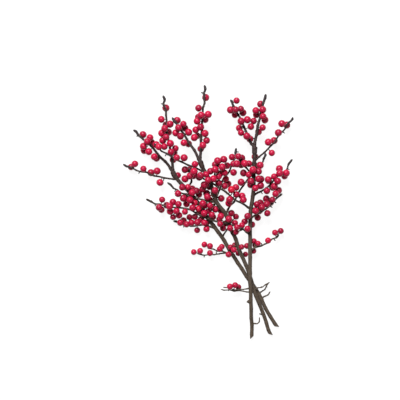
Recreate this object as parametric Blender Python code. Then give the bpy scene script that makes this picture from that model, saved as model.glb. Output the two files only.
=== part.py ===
"""A bunch of three cut winterberry sprigs (a holly that drops its leaves), laid down crossed.

Frame: metres, +Z up. The origin is on the surface, under the place where the three stems
cross; +Y runs along the stems to the berry-laden heads, +X to the right-hand side.
Each sprig is one grown piece, so its stem, shoots, stalks and berries are one closed solid.
"""

import math
import random

import bmesh
import bpy
import numpy as np
from mathutils import Matrix, Vector

# Driving dimensions, in millimetres.
BERRY_RADIUS = 5.2
SMALLEST_SHARE = 0.88  # the smallest berry of a shoot, against the largest
LATE_BERRY = 0.84  # the low berries ripen last and stay smaller
RIPENING = (45, 130)  # from late to full-sized, along the bunch
STALK_LENGTH = (1.2, 2.6)
STALK_STRETCH = 3.0
STALK_WIDTH = 1.5
STALK_DEPTH = 0.45  # how far the stalk reaches into its berry, in radii
SPUR_LENGTH = 3.0
SPUR_WIDTH = 1.6
SPUR_TIP = 0.4
SPUR_LIFT = 0.6
TIP_WITHOUT_BERRIES = 6.0
BUD_LENGTH = 4.0
CUT_SLOPE = 0.9

# Clearances, and how berries make room for one another.
BETWEEN_SPRIGS = 1.1
BETWEEN_BERRIES = 0.5
OFF_OWN_BARK = 0.2
LEAST_GROUND_GAP = 0.4
SPREAD_ROUNDS = 140
BERRY_GIVE = 0.45  # the share of an overlap that one push clears
OWN_WOOD_GIVE = 0.5
OTHER_WOOD_GIVE = 0.8
SIDEWAYS_EASE = 0.28  # a berry swings sideways less easily than up and down
RESTING_PLACES = [(-148, 184), None, (49, 146)]

# How finely the shapes are cut.
SMOOTH_STEP = 1.0
RING_SPACING = 13.0
STEM_SIDES = 6
SHOOT_SIDES = 5
BERRY_SWELL = 1.08  # a ball of few faces is made larger, so that it looks as wide
ON_BERRY = (0.74, 1.02)  # how far from its centre a berry's faces lie, in radii

MM = 0.001
BARK_COLOUR = (0.085, 0.058, 0.045, 1.0)
BERRY_COLOUR = (0.52, 0.012, 0.045, 1.0)


def smooth(points, step=SMOOTH_STEP):
    """A smooth run through the points, as one point for every step or so."""
    points = np.asarray(points, float)
    run = np.vstack([2 * points[0] - points[1], points, 2 * points[-1] - points[-2]])
    out = []
    for a, b, c, d in zip(run[:-3], run[1:-2], run[2:-1], run[3:]):
        count = max(2, int(round(np.linalg.norm(c - b) / step)))
        t = np.linspace(0, 1, count, endpoint=False)[:, None]
        pull = (c - a) * t + (2 * a - 5 * b + 4 * c - d) * t**2
        out.append(b + 0.5 * (pull + (3 * b - a - 3 * c + d) * t**3))
    return np.vstack(out + [points[-1:]])


class Twig:
    """A stem or a shoot: its run, its radius along it, and the places of its berries."""

    def __init__(self, run, widths, berries, under, spurs):
        steps = np.linalg.norm(np.diff(run, axis=0), axis=1)
        share = np.append(0, np.cumsum(steps)) / steps.sum()
        self.radii = np.interp(share, np.linspace(0, 1, len(widths)), widths) / 2
        self.run = run
        self.run[:, 2] = np.maximum(run[:, 2], self.radii)
        self.berries = berries
        self.under = under
        self.spurs = spurs

    def nearest(self, place):
        away = np.linalg.norm(self.run[:, :2] - np.array(place), axis=1)
        return int(away.argmin())


class Sprig:
    """One cut sprig: a stem, the shoots that it carries, and their berries.

    Routes and places are seen from above, in millimetres. A berry in berries hangs beside
    or above its shoot, and one in under hangs below it.
    """

    def __init__(self, name, seed, cut):
        self.name = name
        self.cut = cut
        self.draw = random.Random(seed)
        self.twigs = {}
        self.berries = []

    def stem(self, route, heights, widths, berries=(), under=(), spurs=()):
        share = np.linspace(0, 1, len(route))
        up = np.interp(share, np.linspace(0, 1, len(heights)), heights)
        run = smooth(np.column_stack([route, up]))
        self.twigs["stem"] = Twig(run, widths, berries, under, spurs)

    def shoot(self, name, route, to, widths=(2.4, 2.0), berries=(), under=(), spurs=(), rise=0):
        """A shoot starts inside the stem, level with it, and ends at the height to."""
        stem = self.twigs["stem"]
        root = stem.run[stem.nearest(route[0])]
        flat = np.vstack([root[:2], route[1:]])
        gone = np.append(0, np.cumsum(np.linalg.norm(np.diff(flat, axis=0), axis=1)))
        share = gone / gone[-1]
        up = root[2] + (to - root[2]) * share + rise * np.sin(math.pi * share)
        run = smooth(np.column_stack([flat, up]))
        self.twigs[name] = Twig(run, widths, berries, under, spurs)

    def grow(self):
        """Each berry hangs from the point of its shoot that is nearest to its place."""
        for twig in self.twigs.values():
            for side, places in ((1, twig.berries), (-1, twig.under)):
                for place in places:
                    self.bear(twig, place, side)

    def bear(self, twig, place, side):
        """The stalk's length says how far above or below the shoot the berry can sit."""
        k = min(twig.nearest(place), len(twig.run) - 1 - int(TIP_WITHOUT_BERRIES / SMOOTH_STEP))
        foot = twig.run[k]
        ripe = np.interp(place[1], RIPENING, (LATE_BERRY, 1.0))
        radius = BERRY_RADIUS * ripe * (1.0 - (1.0 - SMALLEST_SHARE) * self.draw.random() ** 2)
        reach = twig.radii[k] + self.draw.uniform(*STALK_LENGTH) + radius
        beside = math.dist(place, foot[:2])
        lift = math.sqrt(max(reach**2 - beside**2, 0.0))
        centre = np.array([place[0], place[1], foot[2] + side * lift])
        self.berries.append(
            {"foot": foot, "centre": centre, "radius": radius, "reach": max(reach, beside)}
        )


def right_sprig():
    """The nearly upright sprig, which lies over the other two."""
    s = Sprig("sprig_right", seed=11, cut=-CUT_SLOPE)
    s.stem(
        [
            (3, -81), (3, -65), (2, -50), (1, -20), (0, 0), (0, 20), (0, 50), (0, 80), (1, 100),
            (4, 120), (5, 140), (5, 155), (6, 172), (6, 188)
        ],
        heights=[3.4, 5, 8, 14, 15.9, 16.3, 17, 18, 19, 20.5, 21.5, 22, 22, 22],
        widths=(5.2, 5.4, 5.6, 5.6, 5.2),
        berries=[
            (5.5, 153), (-2, 146), (-9, 150), (14, 133), (9, 151), (-13, 137),
            (-4, 90), (0, 140), (7, 129), (11, 144)
        ],
        under=[(1, 134), (7, 173), (3, 78), (15, 141), (-4, 48)],
    )
    s.shoot(
        "fork_right",
        [(6, 186), (7, 195), (9, 206), (12, 221), (16, 236), (19, 249), (20, 254), (22, 261)],
        to=17, widths=(4.4, 3.6, 2.5),
        berries=[(8, 237), (17, 236), (20, 225), (17, 213), (18, 229)],
        under=[(15, 247), (9, 232), (12, 208), (5, 223)],
        spurs=[(3, 199)],
    )
    s.shoot(
        "fork_left",
        [(6, 186), (0, 194), (-5, 206), (-9, 216), (-15, 229), (-21, 240), (-24, 246), (-28, 253)],
        to=16, widths=(4.0, 3.2, 2.3),
        berries=[
            (-19, 251), (-27, 238), (-20, 238), (-14, 239), (-5, 224), (1, 215), (-5, 201),
            (-13, 206), (-12, 222)
        ],
        under=[(-10, 235), (-21, 232), (-15, 213), (0, 198)],
    )
    s.shoot(
        "single_right",
        [
            (6, 166), (14, 174), (24, 183), (34, 193), (38, 200), (47, 210), (51, 217), (57, 223),
            (60, 229)
        ],
        to=14, widths=(2.7, 2.4, 2.1),
        berries=[(44, 219), (39, 206), (25, 193), (30, 178)],
        under=[(52, 218), (34, 196)],
        spurs=[(48, 206)],
    )
    s.shoot(
        "short_left",
        [(5, 146), (-3, 154), (-8, 159), (-13, 165), (-17, 171)],
        to=26, widths=(2.6, 2.2),
        berries=[(-17, 172), (-18, 163), (-9, 163), (-1, 163)],
        under=[(-12, 170), (-13, 163)],
    )
    s.shoot(
        "far_right",
        [
            (4, 118), (10, 122), (16, 125), (26, 132), (31, 137), (36, 143), (40, 147), (48, 151),
            (51, 155), (54, 161), (60, 170)
        ],
        to=9, widths=(2.8, 2.5, 2.2),
        berries=[
            (41, 156), (50, 150), (33, 143), (38, 137), (38, 127), (23, 125), (36, 132),
            (28, 142), (40, 149)
        ],
        under=[(49, 146), (26, 140), (33, 130)],
        spurs=[(17, 121), (56, 155)],
    )
    s.shoot(
        "spurred_right",
        [
            (0, 86), (7, 91), (18, 98), (24, 101), (29, 105), (33, 110), (37, 114), (41, 118),
            (45, 122)
        ],
        to=11, widths=(2.6, 2.3, 2.1),
        berries=[
            (8, 105), (8, 98), (17, 104), (23, 113), (22, 107), (34, 119), (24, 94), (32, 115)
        ],
        under=[(12, 107), (7, 101), (13, 97), (29, 109), (11, 88)],
        spurs=[(37, 108), (31, 102)],
    )
    s.shoot(
        "long_left",
        [
            (1, 100), (-10, 107), (-20, 112), (-30, 120), (-38, 126), (-52, 135), (-68, 144),
            (-76, 148), (-86, 156)
        ],
        to=33, widths=(3.0, 2.6, 2.2), rise=2,
        berries=[
            (-57, 141), (-70, 147), (-77, 151), (-26, 127), (-20, 128), (-12, 118), (-10, 113),
            (-29, 113), (-30, 108), (-52, 142), (-19, 122)
        ],
        under=[(-71, 144)],
    )
    s.shoot(
        "low_left",
        [(0, 64), (-8, 70), (-14, 72), (-20, 75), (-28, 78)],
        to=22.5, widths=(2.3, 2.0),
        berries=[(-5, 73), (-11, 77), (-7, 82), (-18, 75)],
    )
    s.shoot(
        "low_right",
        [(0, 42), (8, 46), (20, 50), (26, 53), (31, 57), (38, 61), (41, 64)],
        to=10, widths=(2.3, 2.0),
        berries=[(36, 67), (42, 68), (25, 56), (11, 52)],
        under=[(7, 50), (3, 54), (5, 41)],
        spurs=[(16, 52), (35, 56)],
    )
    s.shoot(
        "hook_left_upper",
        [(1, -10), (-12, -13), (-22, -13), (-32, -11), (-38, -10)],
        to=10, widths=(1.8, 1.6),
        berries=[(-27, -8), (-22, -7)],
        under=[(-16, -10)],
    )
    s.shoot(
        "hook_left_lower",
        [(1, -16), (-13, -15), (-22, -15), (-32, -14), (-41, -13)],
        to=7, widths=(1.8, 1.6),
    )
    s.shoot(
        "curved_low",
        [(3, -61), (9, -62), (12, -60), (13, -57), (13.5, -52)],
        to=7, widths=(1.8, 1.6),
    )
    s.shoot(
        "thorn",
        [(1, -30), (-5, -30)],
        to=12, widths=(4.2, 2.0),
    )
    return s


def left_sprig():
    """The sprig that leans furthest left, under the other two where the stems cross."""
    s = Sprig("sprig_left", seed=23, cut=CUT_SLOPE)
    s.stem(
        [
            (38.5, -66), (28, -50), (20, -35), (14, -22), (8, -12), (2, -4), (-3, 3), (-14, 20),
            (-27, 40), (-39, 60), (-50, 75), (-60, 88), (-66, 99), (-80, 118), (-94, 133),
            (-104, 144), (-109, 154)
        ],
        heights=[0, 0, 0, 0, 0, 0, 0, 3.4, 4.5, 6, 7.5, 8.5, 9, 10, 11, 11.5, 12],
        widths=(5.3, 5.5, 5.6, 5.6, 5.2),
        berries=[
            (-93, 130), (-89, 130), (-80, 122), (-76, 124), (-66, 92), (-74, 97), (-60, 98),
            (-77, 109)
        ],
        under=[(-72, 121), (-89, 107), (-70, 96), (-82, 127), (-103, 146), (-55, 79)],
    )
    s.shoot(
        "fork_left",
        [
            (-107, 150), (-114, 161), (-125, 172), (-134, 183), (-145, 194), (-153, 200),
            (-158, 206), (-164, 211)
        ],
        to=10, widths=(4.2, 3.4, 2.4),
        berries=[(-141, 198), (-146, 188), (-142, 181), (-135, 174), (-145, 192)],
        under=[(-152, 203), (-138, 194), (-148, 184), (-129, 173)],
        spurs=[(-157, 203)],
    )
    s.shoot(
        "fork_right",
        [
            (-107, 150), (-109, 166), (-112, 186), (-115, 199), (-117, 212), (-117, 229),
            (-119, 242), (-121, 247), (-120, 252), (-122, 259)
        ],
        to=15, widths=(4.2, 3.2, 2.4),
        berries=[
            (-124, 225), (-112, 218), (-123, 206), (-117, 199), (-122, 195), (-120, 188),
            (-105, 184), (-110, 179), (-119, 212), (-112, 192)
        ],
        under=[(-118, 242), (-117, 216), (-108, 172), (-107, 176), (-115, 210)],
        spurs=[(-124, 247)],
    )
    s.shoot(
        "single_left",
        [
            (-102, 142), (-119, 143), (-126, 145), (-139, 148), (-145, 151), (-152, 152),
            (-160, 155), (-172, 160), (-178, 163)
        ],
        to=13, widths=(2.7, 2.4, 2.1),
        berries=[(-161, 163), (-149, 156), (-130, 153), (-126, 137)],
        under=[(-167, 159), (-139, 151)],
        spurs=[(-156, 149), (-121, 140)],
    )
    s.shoot(
        "short_right",
        [(-88, 126), (-85, 132), (-82, 141), (-84, 150), (-84, 158)],
        to=15, widths=(2.8, 2.4),
        berries=[(-91, 155), (-84, 146), (-91, 142)],
        under=[(-84, 154), (-80, 148)],
    )
    s.shoot(
        "long_right",
        [
            (-58, 86), (-54, 98), (-49, 108), (-45, 121), (-42, 129), (-38, 140), (-33, 147),
            (-29, 153), (-25, 162), (-20, 176), (-19, 186)
        ],
        to=8, widths=(2.9, 2.6, 2.3),
        berries=[
            (-25, 171), (-31, 161), (-23, 151), (-35, 133), (-31, 135), (-58, 92), (-52, 92),
            (-47, 97), (-41, 115), (-24, 164), (-34, 141)
        ],
        under=[(-55, 89)],
        spurs=[(-17, 180)],
    )
    s.shoot(
        "spurred_left",
        [(-48, 72), (-62, 77), (-80, 76), (-94, 78), (-99, 80), (-108, 83)],
        to=6.5, widths=(2.6, 2.3, 2.1),
        berries=[
            (-97, 84), (-88, 80), (-84, 87), (-81, 82), (-75, 82), (-65, 82), (-61, 72)
        ],
        under=[(-94, 83), (-72, 88), (-74, 70)],
        spurs=[(-93, 74)],
    )
    s.shoot(
        "twig_right",
        [(-38, 59), (-33, 70), (-29, 76), (-24, 86)],
        to=7, widths=(2.2, 2.0),
        berries=[(-37, 74), (-31, 82), (-26, 92), (-22, 90)],
        under=[(-29, 88), (-44, 86)],
    )
    s.shoot(
        "thin_upper",
        [(-24, 36), (-34, 39), (-45, 41), (-52, 43), (-60, 46)],
        to=6, widths=(2.1, 1.8),
        berries=[(-62, 48), (-56, 48), (-42, 44)],
        under=[(-37, 48)],
    )
    s.shoot(
        "thin_lower",
        [(-22, 32), (-30, 37), (-40, 37), (-50, 36), (-60, 35), (-68, 36), (-74, 37)],
        to=5, widths=(2.1, 1.8),
        berries=[(-76, 38), (-70, 41), (-56, 38), (-30, 36)],
        spurs=[(-64, 33), (-47, 39)],
    )
    s.shoot(
        "hook_upper",
        [(15, -24), (14.5, -19.5), (18.5, -15.5), (23, -10.5), (26, -5.5), (27.5, -3)],
        to=5, widths=(2.0, 1.8),
    )
    s.shoot(
        "hook_lower",
        [(16, -27), (22, -23), (26, -20), (29, -16)],
        to=4, widths=(2.0, 1.8),
    )
    return s


def middle_sprig():
    """The sprig between them, whose head spreads over the left one."""
    s = Sprig("sprig_middle", seed=37, cut=CUT_SLOPE)
    s.stem(
        [
            (29.5, -77), (26, -69), (20, -50), (13, -33), (9, -23), (5, -12), (2, 0), (-5, 20),
            (-14, 40), (-21, 60), (-27, 72), (-34, 92), (-43, 104), (-48, 112), (-51, 122),
            (-57, 141), (-64, 153), (-71, 168)
        ],
        heights=[
            3.3, 3.4, 4.7, 7, 8.5, 9.2, 9.4, 10, 11.5, 14, 15.5, 18, 20, 21, 22, 23.5, 24.5, 25
        ],
        widths=(5.2, 5.4, 5.6, 5.6, 5.2),
        berries=[
            (-27, 46), (-23, 43), (-12, 47), (-28, 74), (-63, 135), (-65, 128), (-60, 118),
            (-49, 126), (-62, 147), (-57, 104), (-30, 86), (-41, 90)
        ],
        under=[
            (-21, 49), (-18, 36), (-61, 122), (-65, 107), (-57, 131), (-6, 36), (-43, 97),
            (-50, 118), (-54, 114)
        ],
        spurs=[(12, -31)],
    )
    s.shoot(
        "fork_left",
        [(-70, 165), (-76, 178), (-85, 192), (-92, 203), (-99, 214), (-102, 218), (-109, 228)],
        to=20, widths=(4.2, 3.4, 2.4),
        berries=[(-93, 218), (-100, 212), (-102, 205), (-98, 201), (-93, 193), (-85, 206)],
        under=[(-102, 224), (-91, 213), (-86, 191)],
    )
    s.shoot(
        "fork_right",
        [
            (-70, 165), (-69, 180), (-68, 203), (-67, 218), (-66, 237), (-64, 248), (-64, 256),
            (-65, 261), (-62, 267), (-64, 273)
        ],
        to=21, widths=(4.2, 3.2, 2.4),
        berries=[
            (-72, 240), (-60, 231), (-67, 230), (-74, 222), (-69, 213), (-76, 210), (-63, 204),
            (-61, 196), (-66, 188)
        ],
        under=[(-62, 256), (-72, 228), (-63, 225), (-78, 200), (-74, 202), (-69, 184)],
        spurs=[(-68, 262)],
    )
    s.shoot(
        "single_left",
        [
            (-63, 152), (-74, 156), (-88, 162), (-100, 167), (-112, 174), (-122, 180),
            (-128, 185), (-134, 191)
        ],
        to=25, widths=(2.8, 2.5, 2.2), rise=2,
        berries=[(-77, 162), (-92, 171), (-102, 171), (-127, 186)],
        under=[(-131, 190)],
        spurs=[(-118, 174)],
    )
    s.shoot(
        "short_up",
        [(-54, 132), (-50, 147), (-47, 157), (-43, 165)],
        to=27, widths=(2.7, 2.3),
        berries=[
            (-37, 169), (-45, 166), (-41, 158), (-48, 155), (-56, 152), (-37, 150), (-45, 145)
        ],
        under=[(-49, 162), (-42, 149), (-44, 136)],
    )
    s.shoot(
        "mid_left",
        [(-47, 110), (-60, 111), (-75, 115), (-88, 119), (-97, 123), (-106, 129), (-116, 137)],
        to=17.5, widths=(2.7, 2.4, 2.1), rise=-3,
        berries=[(-99, 120), (-94, 116), (-84, 114)],
        under=[(-88, 119)],
        spurs=[(-105, 125)],
    )
    s.shoot(
        "far_left",
        [
            (-32, 79), (-50, 83), (-58, 86), (-74, 93), (-86, 100), (-106, 102), (-122, 105),
            (-137, 109), (-146, 114)
        ],
        to=12, widths=(2.9, 2.6, 2.2), rise=1,
        berries=[
            (-123, 113), (-127, 102), (-107, 109), (-101, 107), (-111, 97), (-103, 95),
            (-91, 96), (-101, 89), (-112, 103), (-79, 104), (-42, 79)
        ],
        under=[(-124, 99), (-117, 105), (-105, 89), (-62, 87)],
        spurs=[(-133, 104)],
    )
    s.shoot(
        "long_right",
        [
            (-33, 92), (-28, 104), (-22, 111), (-14, 126), (-8, 135), (2, 147), (11, 156),
            (16, 163), (20, 170), (22, 179)
        ],
        to=6, widths=(2.9, 2.5, 2.2),
        berries=[(14, 161)],
        under=[(9, 160)],
    )
    s.shoot(
        "twig_right",
        [(-20, 63), (-15, 69), (-12, 71), (-9, 77)],
        to=10, widths=(2.2, 1.9),
        berries=[(-20, 70)],
        under=[(-21, 80)],
    )
    s.shoot(
        "hook_right",
        [(5, -14), (12, -11), (18, -9), (22, -7), (28, -3)],
        to=11, widths=(1.8, 1.6),
    )
    s.shoot(
        "stub",
        [(19, -50), (16, -48), (13, -47)],
        to=5, widths=(1.8, 1.6),
    )
    return s


def off_neighbours(centre, room):
    """How far the other berries push each berry."""
    apart = centre[:, None] - centre[None, :]
    far = np.linalg.norm(apart, axis=2) + np.eye(len(centre))
    push = np.clip(room - far, 0, None) / far * BERRY_GIVE
    return (apart * push[:, :, None]).sum(axis=1)


def off_wood(centre, radius, own, run, bark):
    """How far one sprig's wood pushes each berry; own marks the berries that it bears."""
    gap = centre[:, None] - run[None]
    far = np.linalg.norm(gap, axis=2)
    free = np.where(own, OFF_OWN_BARK, BETWEEN_SPRIGS)
    deep = (radius + free)[:, None] + bark[None] - far
    rows, worst = np.arange(len(centre)), deep.argmax(axis=1)
    shove = np.clip(deep[rows, worst], 0, None) * np.where(own, OWN_WOOD_GIVE, OTHER_WOOD_GIVE)
    away = gap[rows, worst] / far[rows, worst][:, None]
    return away * shove[:, None]


def spread(sprigs):
    """Berries push one another, the wood and the ground aside, mostly up and down."""
    berries = [b for s in sprigs for b in s.berries]
    owner = np.array([i for i, s in enumerate(sprigs) for b in s.berries])
    centre, foot = (np.array([b[key] for b in berries]) for key in ("centre", "foot"))
    radius, reach = (np.array([b[key] for b in berries]) for key in ("radius", "reach"))
    wood = [np.vstack([t.run for t in s.twigs.values()]) for s in sprigs]
    bark = [np.concatenate([t.radii for t in s.twigs.values()]) for s in sprigs]
    kin = owner[:, None] == owner[None, :]
    room = radius[:, None] + radius[None, :] + np.where(kin, BETWEEN_BERRIES, BETWEEN_SPRIGS)
    np.fill_diagonal(room, 0)
    easy = np.array([SIDEWAYS_EASE, SIDEWAYS_EASE, 1.0])
    for _ in range(SPREAD_ROUNDS):
        centre = centre + off_neighbours(centre, room) * easy
        for k in range(len(sprigs)):
            centre = centre + off_wood(centre, radius, owner == k, wood[k], bark[k]) * easy
        tie = centre - foot
        length = np.linalg.norm(tie, axis=1)
        centre = foot + tie * (np.minimum(length, reach + STALK_STRETCH) / length)[:, None]
        centre[:, 2] = np.maximum(centre[:, 2], radius * BERRY_SWELL + LEAST_GROUND_GAP)
    for b, c in zip(berries, centre):
        b["centre"] = c


def settle(sprigs):
    """The lowest berry near each resting place comes down until it touches the surface."""
    for sprig, place in zip(sprigs, RESTING_PLACES):
        if place is None:
            continue
        low = min(sprig.berries, key=lambda b: math.dist(b["centre"][:2], place))
        low["centre"][2] = low["radius"] * BERRY_SWELL
        low["rests"] = True


def material(name, colour, roughness):
    made = bpy.data.materials.new(name)
    made.use_nodes = True
    shader = made.node_tree.nodes["Principled BSDF"]
    shader.inputs["Base Color"].default_value = colour
    shader.inputs["Roughness"].default_value = roughness
    return made


def solid(mesh, name, bucket):
    """Puts a bmesh in the scene as an object of the bucket, in metres, faces out."""
    bmesh.ops.recalc_face_normals(mesh, faces=mesh.faces)
    bmesh.ops.scale(mesh, vec=(MM, MM, MM), verts=mesh.verts)
    data = bpy.data.meshes.new(name)
    mesh.to_mesh(data)
    mesh.free()
    made = bpy.data.objects.new(name, data)
    bucket.objects.link(made)
    return made


def directions(run, k):
    """Ahead, left and up at the k-th point of a run."""
    ahead = run[min(k + 1, len(run) - 1)] - run[max(k - 1, 0)]
    ahead = ahead / np.linalg.norm(ahead)
    left = np.cross((0.0, 0.0, 1.0), ahead)
    left = left / np.linalg.norm(left)
    return ahead, left, np.cross(ahead, left)


def ring(mesh, centre, left, up, radius, sides, ahead=None, slope=0.0):
    """A ring with one flat side down, so that a flat side is radius below the centre."""
    corner = radius / math.cos(math.pi / sides)
    points = []
    for i in range(sides):
        angle = -math.pi / 2 + (i + 0.5) * 2 * math.pi / sides
        beside = corner * math.cos(angle)
        point = centre + left * beside + up * corner * math.sin(angle)
        if slope:
            point = point + ahead * (beside * slope)
        points.append(mesh.verts.new(point))
    return points


def tube(twig, sides, cut, bucket, name):
    """Wood along a twig, from its root or its slanting cut to a pointed end bud."""
    mesh = bmesh.new()
    last = len(twig.run) - 1
    neck = max(2, last - int(BUD_LENGTH / SMOOTH_STEP))
    count = max(2, int(round(neck * SMOOTH_STEP / RING_SPACING)))
    rings = []
    for n in range(count + 1):
        k = int(round(neck * n / count))
        ahead, left, up = directions(twig.run, k)
        slope = cut if n == 0 else 0.0
        rings.append(ring(mesh, twig.run[k], left, up, twig.radii[k], sides, ahead, slope))
    for a, b in zip(rings[:-1], rings[1:]):
        for i in range(sides):
            mesh.faces.new((a[i], a[(i + 1) % sides], b[(i + 1) % sides], b[i]))
    mesh.faces.new(rings[0][::-1])
    tip = mesh.verts.new(twig.run[last])
    for i in range(sides):
        mesh.faces.new((rings[-1][i], rings[-1][(i + 1) % sides], tip))
    bmesh.ops.triangulate(mesh, faces=mesh.faces)
    return solid(mesh, name, bucket)


def spike(start, end, width, bucket, name, blunt=1.0):
    """A three-sided stalk or spur with its root sunk in the wood."""
    mesh = bmesh.new()
    axis = Vector(end) - Vector(start)
    turn = Vector((0, 0, 1)).rotation_difference(axis).to_matrix().to_4x4()
    place = Matrix.Translation((Vector(start) + Vector(end)) / 2) @ turn
    bmesh.ops.create_cone(
        mesh, cap_ends=True, cap_tris=False, segments=3, radius1=width / 2,
        radius2=width / 2 * blunt, depth=axis.length, matrix=place,
    )
    bmesh.ops.triangulate(mesh, faces=mesh.faces)
    return solid(mesh, name, bucket)


def ball(berry, bucket, name):
    """A berry with few faces: one looks at the stalk, but a corner is down where it rests."""
    mesh = bmesh.new()
    bmesh.ops.create_icosphere(mesh, subdivisions=1, radius=berry["radius"] * BERRY_SWELL)
    mesh.normal_update()
    mesh.faces.ensure_lookup_table()
    stalk = Vector(berry["foot"]) - Vector(berry["centre"])
    turn = mesh.faces[0].normal.rotation_difference(stalk).to_matrix().to_4x4()
    if berry.get("rests"):
        turn = Matrix.Identity(4)
    place = Matrix.Translation(Vector(berry["centre"])) @ turn
    bmesh.ops.transform(mesh, matrix=place, verts=mesh.verts)
    return solid(mesh, name, bucket)


def wooden_parts(sprig, bucket):
    """Stem, shoots and spurs. Returns the stem's object."""
    base = None
    for name, twig in sprig.twigs.items():
        is_stem = name == "stem"
        sides = STEM_SIDES if is_stem else SHOOT_SIDES
        made = tube(twig, sides, sprig.cut if is_stem else 0.0, bucket, sprig.name + "_" + name)
        base = made if is_stem else base
        for place in twig.spurs:
            k = twig.nearest(place)
            foot = twig.run[k]
            out = np.array([place[0] - foot[0], place[1] - foot[1], SPUR_LIFT])
            end = foot + out / np.linalg.norm(out) * (twig.radii[k] + SPUR_LENGTH)
            spike(foot, end, SPUR_WIDTH, bucket, "spur", SPUR_TIP)
    return base


def berry_parts(sprig, bucket):
    for berry in sprig.berries:
        ball(berry, bucket, "berry")
        foot = berry["foot"]
        out = berry["centre"] - foot
        end = foot + out * (1 - (1 - STALK_DEPTH) * berry["radius"] / np.linalg.norm(out))
        spike(foot, end, STALK_WIDTH, bucket, "stalk")


def keep_one_body(target):
    """Drops the loose scraps and the shells of sealed hollows that the union leaves."""
    mesh = bmesh.new()
    mesh.from_mesh(target.data)
    left = set(mesh.faces)
    bodies = []
    while left:
        front = [left.pop()]
        body = []
        while front:
            face = front.pop()
            body.append(face)
            for edge in face.edges:
                for other in edge.link_faces:
                    if other in left:
                        left.remove(other)
                        front.append(other)
        bodies.append(body)
    bodies.sort(key=len, reverse=True)
    for body in bodies[1:]:
        bmesh.ops.delete(mesh, geom=body, context="FACES")
    bmesh.ops.triangulate(mesh, faces=mesh.faces)
    mesh.to_mesh(target.data)
    mesh.free()


def colour_faces(target, sprig, bark, red):
    """Faces that lie on a berry are berry red, and the rest is bark."""
    centres = np.array([b["centre"] for b in sprig.berries]) * MM
    radii = np.array([b["radius"] for b in sprig.berries]) * BERRY_SWELL * MM
    target.data.materials.clear()
    target.data.materials.append(bark)
    target.data.materials.append(red)
    for face in target.data.polygons:
        far = np.linalg.norm(centres - np.array(face.center), axis=1) / radii
        face.material_index = int(bool(((far > ON_BERRY[0]) & (far < ON_BERRY[1])).any()))


def fuse(sprig, bark, red):
    """Joins the sprig's wood, stalks and berries in one closed solid."""
    bucket = bpy.data.collections.new(sprig.name + "_parts")
    bpy.context.scene.collection.children.link(bucket)
    base = wooden_parts(sprig, bucket)
    berry_parts(sprig, bucket)
    bucket.objects.unlink(base)
    bpy.context.scene.collection.objects.link(base)
    join = base.modifiers.new("join", "BOOLEAN")
    join.operation = "UNION"
    join.operand_type = "COLLECTION"
    join.collection = bucket
    join.solver = "MANIFOLD"
    graph = bpy.context.evaluated_depsgraph_get()
    joined = bpy.data.meshes.new_from_object(base.evaluated_get(graph))
    base.modifiers.clear()
    base.data = joined
    for helper in list(bucket.objects):
        bpy.data.objects.remove(helper, do_unlink=True)
    bpy.data.collections.remove(bucket)
    base.name = sprig.name
    base.data.name = sprig.name
    keep_one_body(base)
    colour_faces(base, sprig, bark, red)
    return base


def main():
    for old in list(bpy.data.objects):
        bpy.data.objects.remove(old, do_unlink=True)
    bark = material("bark", BARK_COLOUR, 0.75)
    red = material("berry_red", BERRY_COLOUR, 0.28)
    sprigs = [left_sprig(), middle_sprig(), right_sprig()]
    for sprig in sprigs:
        sprig.grow()
    spread(sprigs)
    settle(sprigs)
    bunch = bpy.data.objects.new("holly_bunch", None)
    bpy.context.scene.collection.objects.link(bunch)
    for sprig in sprigs:
        fuse(sprig, bark, red).parent = bunch


main()
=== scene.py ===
# %% [markdown]
# # A bunch of winterberry
#
# Winterberry is a holly that drops its leaves, so in winter a cut stem is only dark wood and
# red berries. This lesson grows three such sprigs, crossed and laid down on a pale floor.
#
# The solid model of the bunch is loaded first and acts as the frame: it says how large the
# bunch is and where it lies. Everything made below keeps to it, and only gives it its fine
# shapes and its finishes.

import math
import random

import bpy
import numpy as np
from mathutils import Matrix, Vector


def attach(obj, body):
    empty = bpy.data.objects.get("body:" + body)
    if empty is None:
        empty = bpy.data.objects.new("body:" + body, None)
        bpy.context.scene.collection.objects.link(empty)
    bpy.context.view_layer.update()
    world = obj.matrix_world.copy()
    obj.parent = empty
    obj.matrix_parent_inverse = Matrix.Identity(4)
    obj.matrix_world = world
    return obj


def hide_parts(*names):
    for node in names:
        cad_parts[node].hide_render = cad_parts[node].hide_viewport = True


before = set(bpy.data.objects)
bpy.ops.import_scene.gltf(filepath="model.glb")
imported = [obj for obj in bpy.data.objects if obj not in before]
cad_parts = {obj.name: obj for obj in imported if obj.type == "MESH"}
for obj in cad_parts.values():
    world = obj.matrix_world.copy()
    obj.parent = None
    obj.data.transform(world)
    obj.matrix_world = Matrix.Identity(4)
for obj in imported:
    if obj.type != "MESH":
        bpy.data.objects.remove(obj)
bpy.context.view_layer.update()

# %% [markdown]
# ## Sizes
#
# All lengths are in millimetres until a mesh is made, because a botanist would measure a twig
# that way. The berries, the lengths of their stalks and the room between them have the same
# values as in the solid model, so the fine berries land on the coarse ones.

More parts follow.
